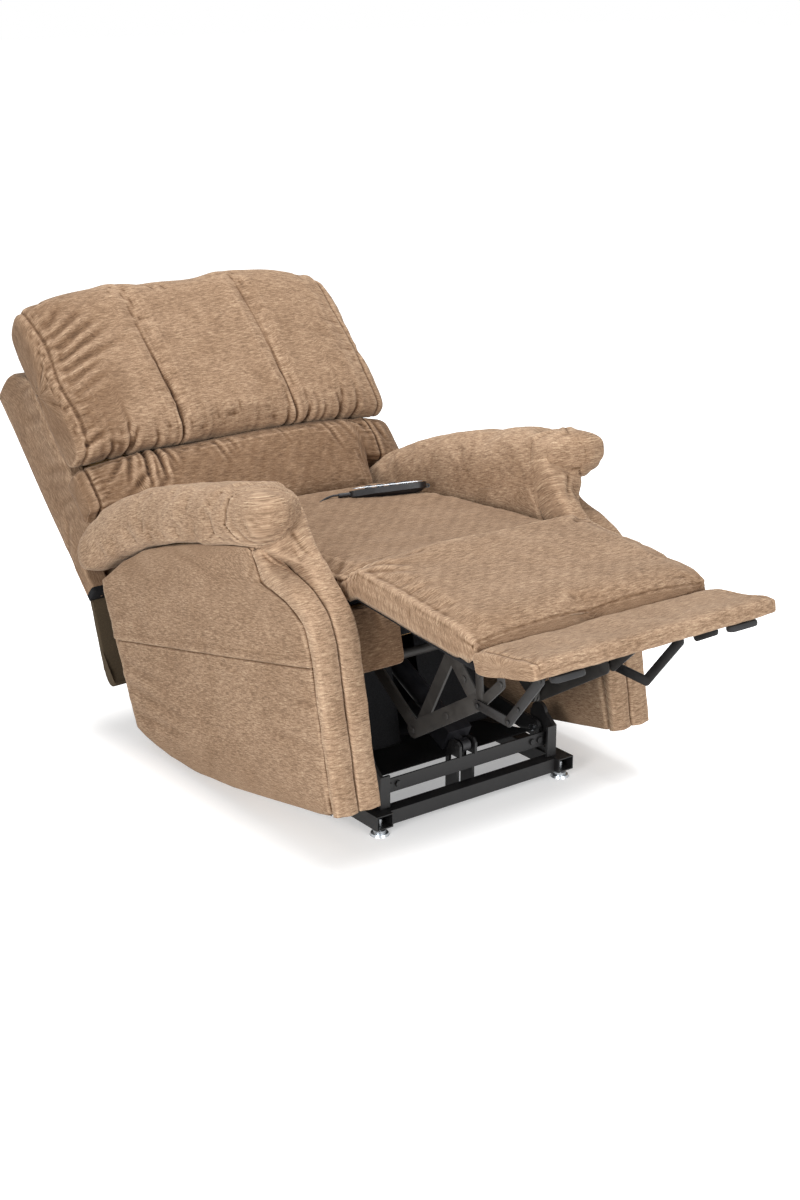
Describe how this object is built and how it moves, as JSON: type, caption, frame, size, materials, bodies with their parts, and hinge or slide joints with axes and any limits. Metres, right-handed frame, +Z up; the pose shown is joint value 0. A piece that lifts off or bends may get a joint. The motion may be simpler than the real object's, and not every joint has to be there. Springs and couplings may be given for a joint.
{
  "type": "lift recliner chair",
  "caption": "Upholstered powered lift recliner, shown reclined: tilting lift base, hinged back, folding footrest with flip-out extension, corded handset.",
  "frame": {"origin": "on the floor, midway between the sides and midway between the foremost and rearmost points of the reclined chair", "axes": "+X to the sitter's left, +Y rearwards, +Z up"},
  "size_m": [0.88, 1.791, 0.9368],
  "materials": {
    "fabric": "beige-brown chenille, slub weave",
    "black_steel": "black satin powder coat",
    "grey_steel": "dark grey satin powder coat",
    "bright_steel": "zinc plated",
    "timber": "sawn softwood and plywood",
    "black_plastic": "fine moulded texture",
    "silver_plastic": "silver painted, satin",
    "button_rubber": "moulded silicone keys",
    "cord_jacket": "soft black jacket"
  },
  "bodies": {
    "base": {"base_runner_left": "black_steel", "base_runner_right": "black_steel", "base_front_bar": "black_steel", "base_rear_bar": "black_steel", "base_cross_angle": "black_steel", "base_posts": "black_steel", "base_bolts": "black_steel", "levelling_feet": "bright_steel", "lift_pivot_pins": "bright_steel", "lift_motor_bracket": "black_steel"},
    "lift_arms": {"lift_arm_left": "black_steel", "lift_arm_right": "black_steel", "lift_arm_tube": "black_steel"},
    "chair": {"side_rail_left": "black_steel", "side_rail_right": "black_steel", "cross_tubes": "black_steel", "chair_pivot_pins": "bright_steel", "seat_front_rail": "timber", "seat_springs": "bright_steel", "seat_cushion": "fabric", "seat_cheeks": "fabric", "arm_frame_left": "timber", "arm_frame_right": "timber", "arm_panel_left": "fabric", "arm_panel_right": "fabric", "arm_inner_left": "fabric", "arm_inner_right": "fabric", "arm_facing_left": "fabric", "arm_facing_right": "fabric", "arm_pad_left": "fabric", "arm_pad_right": "fabric", "back_pivot_brackets": "black_steel", "control_box": "black_plastic", "power_supply": "black_plastic", "handset_case": "black_plastic", "handset_face": "silver_plastic", "cord_relief": "black_plastic", "handset_cord": "cord_jacket", "cord_plug": "black_plastic"},
    "button_1": {"button_back_down": "button_rubber"},
    "button_2": {"button_back_up": "button_rubber"},
    "button_3": {"button_lift_down": "button_rubber"},
    "button_4": {"button_lift_up": "button_rubber"},
    "back": {"back_frame": "timber", "back_shell": "fabric", "lumbar_cushion": "fabric", "head_cushion": "fabric"},
    "flap": {"rear_flap": "fabric"},
    "footrest": {"footrest_board": "timber", "footrest_pad": "fabric", "footrest_brackets": "grey_steel"},
    "extension": {"extension_board": "timber", "extension_pad": "fabric", "extension_brackets": "grey_steel"},
    "lower_brace": {"lower_braces": "grey_steel"},
    "upper_brace": {"upper_braces": "grey_steel"},
    "lift_motor_housing": {"lift_motor": "black_plastic"},
    "lift_rod": {"lift_motor_rod": "bright_steel"},
    "recline_motor_housing": {"recline_motor": "black_plastic"},
    "recline_rod": {"recline_motor_rod": "bright_steel"}
  },
  "joints": [
    {"name": "lift_arm_pivot", "type": "hinge", "parent": "base", "child": "lift_arms", "pos_m": [0, -0.316, 0.1], "axis": [1, 0, 0], "range_deg": [0, 75]},
    {"name": "chair_hinge", "type": "hinge", "parent": "lift_arms", "child": "chair", "pos_m": [0, 0.13397, 0.14996], "axis": [1, 0, 0], "range_deg": [-37.5, 0.2]},
    {"name": "back_recline", "type": "hinge", "parent": "chair", "child": "back", "pos_m": [0, 0.42992, 0.39282], "axis": [1, 0, 0], "range_deg": [0, 24]},
    {"name": "flap_hang", "type": "hinge", "parent": "back", "child": "flap", "pos_m": [0, 0.48428, 0.27218], "axis": [1, 0, 0], "range_deg": [-24.3, 0.2]},
    {"name": "footrest_fold", "type": "hinge", "parent": "chair", "child": "footrest", "pos_m": [0, -0.34753, 0.51241], "axis": [1, 0, 0], "range_deg": [0, 72]},
    {"name": "extension_fold", "type": "hinge", "parent": "footrest", "child": "extension", "pos_m": [0, -0.71628, 0.46012], "axis": [1, 0, 0], "range_deg": [-0.5, 187]},
    {"name": "lower_brace_turn", "type": "hinge", "parent": "chair", "child": "lower_brace", "pos_m": [0, -0.23926, 0.30635], "axis": [1, 0, 0], "range_deg": [-0.3, 72.3]},
    {"name": "upper_brace_turn", "type": "hinge", "parent": "lower_brace", "child": "upper_brace", "pos_m": [0, -0.38077, 0.20786], "axis": [1, 0, 0], "range_deg": [-72.3, 0.3]},
    {"name": "lift_motor_swing", "type": "hinge", "parent": "base", "child": "lift_motor_housing", "pos_m": [0, -0.338, 0.12], "axis": [1, 0, 0], "range_deg": [-0.3, 72.56]},
    {"name": "lift_rod_slide", "type": "slide", "parent": "lift_motor_housing", "child": "lift_rod", "axis": [0, 0.8983, 0.4393], "range_m": [-0.0005, 0.07592]},
    {"name": "recline_motor_swing", "type": "hinge", "parent": "chair", "child": "recline_motor_housing", "pos_m": [0, 0.11268, 0.31907], "axis": [1, 0, 0], "range_deg": [-0.35, 0.2]},
    {"name": "recline_rod_slide", "type": "slide", "parent": "recline_motor_housing", "child": "recline_rod", "axis": [0, 0.9839, -0.179], "range_m": [-0.0005, 0.05524]},
    {"name": "button_back_down_press", "type": "slide", "parent": "chair", "child": "button_1", "axis": [-0.0695, -0.2881, -0.9551], "range_m": [0, 0.0012], "stiffness_N_per_m": 700},
    {"name": "button_back_up_press", "type": "slide", "parent": "chair", "child": "button_2", "axis": [-0.0695, -0.2881, -0.9551], "range_m": [0, 0.0012], "stiffness_N_per_m": 700},
    {"name": "button_lift_down_press", "type": "slide", "parent": "chair", "child": "button_3", "axis": [-0.0695, -0.2881, -0.9551], "range_m": [0, 0.0012], "stiffness_N_per_m": 700},
    {"name": "button_lift_up_press", "type": "slide", "parent": "chair", "child": "button_4", "axis": [-0.0695, -0.2881, -0.9551], "range_m": [0, 0.0012], "stiffness_N_per_m": 700}
  ],
  "couplings": [
    {"joint": "chair_hinge", "follows": "lift_arm_pivot", "ratio": -0.49333},
    {"joint": "flap_hang", "follows": "back_recline", "ratio": -1},
    {"joint": "extension_fold", "follows": "footrest_fold", "ratio": 2.59},
    {"joint": "lower_brace_turn", "follows": "footrest_fold", "ratio": 1},
    {"joint": "upper_brace_turn", "follows": "footrest_fold", "ratio": -1},
    {"joint": "lift_motor_swing", "follows": "lift_arm_pivot", "ratio": 0.9635},
    {"joint": "lift_rod_slide", "follows": "lift_arm_pivot", "m_per_rad": 0.05762},
    {"joint": "recline_motor_swing", "follows": "back_recline", "ratio": -0.0064},
    {"joint": "recline_rod_slide", "follows": "back_recline", "m_per_rad": 0.13068}
  ]
}
